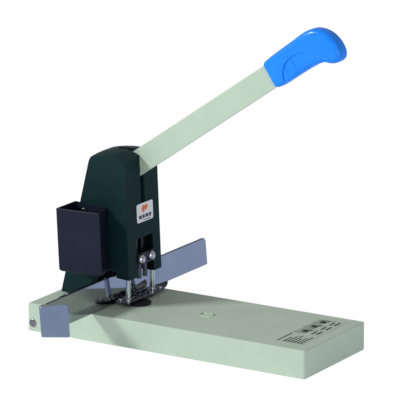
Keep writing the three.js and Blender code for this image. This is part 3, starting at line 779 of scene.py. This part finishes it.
def bar_pocket():
    """The slot in the grip that the steel bar fills."""
    low, high = -15.3, 15.3
    bm = bmesh.new()
    points = [(280, low), (377, low), (377, high), (280, high)]
    near = [bm.verts.new(lever_place(x, -3.8, z)) for x, z in points]
    far = [bm.verts.new(lever_place(x, 3.8, z)) for x, z in points]
    bm.faces.new(near)
    bm.faces.new(far)
    for i in range(4):
        j = (i + 1) % 4
        bm.faces.new([near[i], near[j], far[j], far[i]])
    return cutter_of(bm)


def build_lever():
    refine("lever_bar", PALE, 0.7, 3)
    build_grip()
    refine("grip_pin", STEEL, 0.2)
    refine("crank_pin", STEEL, 0.3)
    refine("pivot_bush", BRASS, 0.2)
    for side in ("near", "far"):
        refine(f"crank_roller_{side}", STEEL, 0.4)


# ---------- carrier, punches and springs ----------
def build_carrier():
    refine("punch_carrier", DARK_STEEL, 0.5)
    refine("clamp_bar", DARK_STEEL, 0.4)
    for i in range(1, 4):
        build_punch(i)
    for side in ("near", "far"):
        build_clamp_bolt(side)
        build_spring(side)


def build_punch(index):
    """A hollow punch, ground to a thin cutting lip."""
    node = f"punch_{index}"
    low, high = extent(node)
    spot = middle(node)
    radius = (high.x - low.x) / 2
    length = high.z - low.z
    wall, mouth, ease, solid_end = 0.85, 0.75, 0.4, 4
    profile = [
        (radius - mouth, 0),
        (radius - 0.05, 0.02),
        (radius, ease),
        (radius, length - ease),
        (radius - ease, length),
        (0, length),
        (0, length - solid_end),
        (radius - wall, length - solid_end),
        (radius - wall, 1.5),
        (radius - mouth, 0),
    ]
    bm = bmesh.new()
    turned(bm, profile, place(spot.x, spot.y, low.z))
    bmesh.ops.remove_doubles(bm, verts=bm.verts, dist=0.001 * MM)
    finish_mesh(f"{node}_turned", bm, DARK_CHROME, "carrier", [node])


def build_clamp_bolt(side):
    """A bolt with a domed head on a short straight rim."""
    node = f"clamp_bolt_{side}"
    low, high = extent(node)
    spot = middle(node)
    radius = (high.z - low.z) / 2
    tall = high.x - low.x
    shank, crown, head = 2, 4.6, 5
    angles = [math.radians(12 * i) for i in range(8)]
    dome = [(radius * math.cos(a), tall - crown + crown * math.sin(a)) for a in angles]
    profile = [(0, 0), (shank, 0), (shank, tall - head), (radius, tall - head), *dome, (0, tall)]
    bm = bmesh.new()
    turned(bm, profile, place(low.x, spot.y, spot.z), (1, 0, 0))
    finish_mesh(f"{node}_turned", bm, POLISH, "carrier", [node])


def build_spring(side):
    """A round-wire coil with its last turns closed up."""
    node = f"return_spring_{side}"
    low, high = extent(node)
    spot = middle(node)
    wire = 0.72
    radius = (high.x - low.x) / 2 - wire
    length = high.z - low.z - 2 * wire
    turns, dead = 11.0, 1.5
    steps = 30
    total = int(turns * steps)
    bm = bmesh.new()
    rings = []
    sides = 10
    snug = 1.04
    pitch = 2 * wire * snug
    live = turns - 2 * dead
    dead_rise = pitch * dead
    for i in range(total + 1):
        turn = i / steps
        if turn < dead:
            height = pitch * turn
        elif turn > turns - dead:
            height = length - pitch * (turns - turn)
        else:
            height = dead_rise + (length - 2 * dead_rise) * (turn - dead) / live
        angle = math.tau * turn
        centre = Vector((math.cos(angle) * radius, math.sin(angle) * radius, height + wire))
        out = Vector((math.cos(angle), math.sin(angle), 0))
        ring = []
        for k in range(sides):
            a = math.tau * k / sides
            p = centre + (out * math.cos(a) + Vector((0, 0, 1)) * math.sin(a)) * wire
            ring.append(bm.verts.new(place(spot.x + p.x, spot.y + p.y, low.z + p.z)))
        rings.append(ring)
    for lower, upper in zip(rings, rings[1:]):
        for k in range(sides):
            m = (k + 1) % sides
            bm.faces.new([lower[k], lower[m], upper[m], upper[k]])
    bm.faces.new(rings[0])
    bm.faces.new(rings[-1])
    spring = finish_mesh(f"{node}_coil", bm, STEEL, "frame", [node])
    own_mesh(spring)


# ---------- presser ----------
def build_presser():
    refine("presser_plate", DARK_CHROME, 0.35, 2)
    for side in ("near", "far"):
        build_post(side)
    for i in range(1, 4):
        refine(f"stripper_bush_{i}", DARK_CHROME, 0.2)
        refine(f"presser_screw_{i}", POLISH, 0.2)


def build_post(side):
    node = f"presser_post_{side}"
    low, high = extent(node)
    spot = middle(node)
    tall = high.z - low.z
    profile = [
        (0, 0),
        (2, 0),
        (2, 1.7),
        (4.4, 1.7),
        (4.6, 1.9),
        (4.6, 2.9),
        (4.3, 3.2),
        (3.4, 3.3),
        (3.4, tall - 1),
        (2.6, tall),
        (0, tall),
    ]
    bm = bmesh.new()
    turned(bm, profile, place(spot.x, spot.y, low.z))
    finish_mesh(f"{node}_turned", bm, POLISH, "presser", [node])


def build_disc():
    refine("cutting_disc", RUBBER, 0.3)
    refine("disc_rivet", STEEL, 0.2)


# ---------- fence ----------
def build_fence():
    refine("fence", CHROME, 0.35, 2)
    rail = refine("fence_rail", DARK_CHROME, 0)
    rail.data.materials.append(POLISH)
    core = middle("fence_rail")
    rod_radius = 1.75
    for face in rail.data.polygons:
        spot = (face.center - CORNER) / MM
        face.material_index = int(math.hypot(spot.x - core.x, spot.z - core.z) > rod_radius)
    build_fence_painted_reflection()
    for i in (1, 2):
        refine(f"rail_clip_{i}", STEEL, 0.2)
    for side in ("near", "far"):
        refine(f"fence_tab_{side}", STEEL, 0.3)
        refine(f"thumb_screw_{side}", STEEL, 0.4)


def build_fence_painted_reflection():
    """A thin dark strip along the straight part of the fence's upper edge: a painted dark reflection
    of the dark space above the fence.
    """
    near_gap, far_gap = 18, 8
    below, above = 1.0, 0.2
    behind, proud = 0.4, 0.2
    low, high = extent("fence")
    wall = [(v.co - CORNER) / MM for v in NODES["fence"].data.vertices]
    wall = [p for p in wall if p.y > HEAD_Y]
    top = max(p.z for p in wall)
    x = max(p.x for p in wall if p.z > top - 0.4)
    c, s = math.cos(FENCE_LEAN), math.sin(FENCE_LEAN)

    def at(u, v, w):
        return place(x - v * s + (w - behind) * c, u, top + v * c + (w - behind) * s)

    start, stop = low.y + near_gap, high.y - far_gap
    outline = [(start, -below), (stop, -below), (stop, above), (start, above)]
    bm = bmesh.new()
    slab(bm, outline, at, behind + proud)
    # The dark steel strip paints the dark reflection along the fence's top edge.
    finish_mesh("fence_top_painted_reflection", bm, DARK_STEEL, "fence")


# ---------- studio ----------
def build_studio():
    scene = bpy.context.scene
    scene.view_settings.view_transform = "Standard"
    scene.view_settings.look = "None"

    floor_mesh = bpy.data.meshes.new("floor")
    bm = bmesh.new()
    bmesh.ops.create_circle(bm, cap_ends=True, segments=64, radius=60)
    bm.to_mesh(floor_mesh)
    bm.free()
    floor = bpy.data.objects.new("floor", floor_mesh)
    scene.collection.objects.link(floor)
    material = bpy.data.materials.new("floor_white")
    material.use_nodes = True
    tree = material.node_tree
    shader = tree.nodes["Principled BSDF"]
    shader.inputs["Base Color"].default_value = (0.9, 0.9, 0.9, 1)
    shader.inputs["Roughness"].default_value = 0.9
    shader.inputs["Specular IOR Level"].default_value = 0.0
    shader.inputs["Emission Color"].default_value = (1, 1, 1, 1)
    shader.inputs["Emission Strength"].default_value = 0.28
    glossy = tree.nodes.new("ShaderNodeEmission")
    glossy.inputs["Color"].default_value = (0.45, 0.54, 0.76, 1)
    path = tree.nodes.new("ShaderNodeLightPath")
    mix = tree.nodes.new("ShaderNodeMixShader")
    tree.links.new(path.outputs["Is Glossy Ray"], mix.inputs["Fac"])
    tree.links.new(shader.outputs["BSDF"], mix.inputs[1])
    tree.links.new(glossy.outputs["Emission"], mix.inputs[2])
    paper = tree.nodes.new("ShaderNodeEmission")
    seen = tree.nodes.new("ShaderNodeMixShader")
    tree.links.new(path.outputs["Is Camera Ray"], seen.inputs["Fac"])
    tree.links.new(mix.outputs["Shader"], seen.inputs[1])
    tree.links.new(paper.outputs["Emission"], seen.inputs[2])
    tree.links.new(seen.outputs["Shader"], tree.nodes["Material Output"].inputs["Surface"])
    floor_mesh.materials.append(material)
    material.cycles.emission_sampling = "NONE"
    floor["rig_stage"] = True

    world = bpy.data.worlds.new("studio")
    scene.world = world
    world.use_nodes = True
    tree = world.node_tree
    background = tree.nodes["Background"]
    background.inputs["Color"].default_value = (0.97, 0.985, 1.0, 1)
    background.inputs["Strength"].default_value = 0.34
    seen = tree.nodes.new("ShaderNodeBackground")
    seen.inputs["Color"].default_value = (1, 1, 1, 1)
    path = tree.nodes.new("ShaderNodeLightPath")
    mix = tree.nodes.new("ShaderNodeMixShader")
    tree.links.new(path.outputs["Is Camera Ray"], mix.inputs["Fac"])
    tree.links.new(background.outputs["Background"], mix.inputs[1])
    tree.links.new(seen.outputs["Background"], mix.inputs[2])
    tree.links.new(mix.outputs["Shader"], tree.nodes["World Output"].inputs["Surface"])

    soft_box("key_light", 45, 10, 3.2, (1.6, 1.6), 21)
    soft_box("left_light", -48, 34, 3.0, (0.5, 0.5), 64)


def soft_box(name, azimuth, elevation, distance, size, power):
    """A rectangular area light aimed at the middle of the object."""
    low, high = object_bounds()
    centre = (low + high) / 2
    light = bpy.data.lights.new(name, "AREA")
    light.shape = "RECTANGLE"
    light.size, light.size_y = size
    light.energy = power
    lamp = bpy.data.objects.new(name, light)
    bpy.context.scene.collection.objects.link(lamp)
    back = direction(azimuth, elevation)
    lamp.location = centre + back * distance
    lamp.rotation_euler = (-back).to_track_quat("-Z", "Y").to_euler()


def direction(azimuth, elevation):
    """The way from the object towards a viewer at that azimuth and elevation, in degrees."""
    a, e = math.radians(azimuth), math.radians(elevation)
    return Vector((math.sin(a) * math.cos(e), -math.cos(a) * math.cos(e), math.sin(e)))


def build_camera():
    """Three quarters from the front right, a little above, through a long lens."""
    camera = bpy.data.cameras.new("camera")
    camera.lens = 312.69
    camera.sensor_width = 36
    camera.clip_end = 200
    holder = bpy.data.objects.new("camera", camera)
    bpy.context.scene.collection.objects.link(holder)
    azimuth, elevation, distance = 31.5645, 14.3043, 4.3592
    back = direction(azimuth, elevation)
    target = place(162.5, 147.55, 159.48)
    holder.location = target + back * distance
    holder.rotation_euler = (-back).to_track_quat("-Z", "Y").to_euler()
    bpy.context.scene.camera = holder


build_base()
build_mark()
build_panel()
build_tower()
build_badge()
build_lever()
build_carrier()
build_presser()
build_disc()
build_fence()
build_studio()
build_camera()
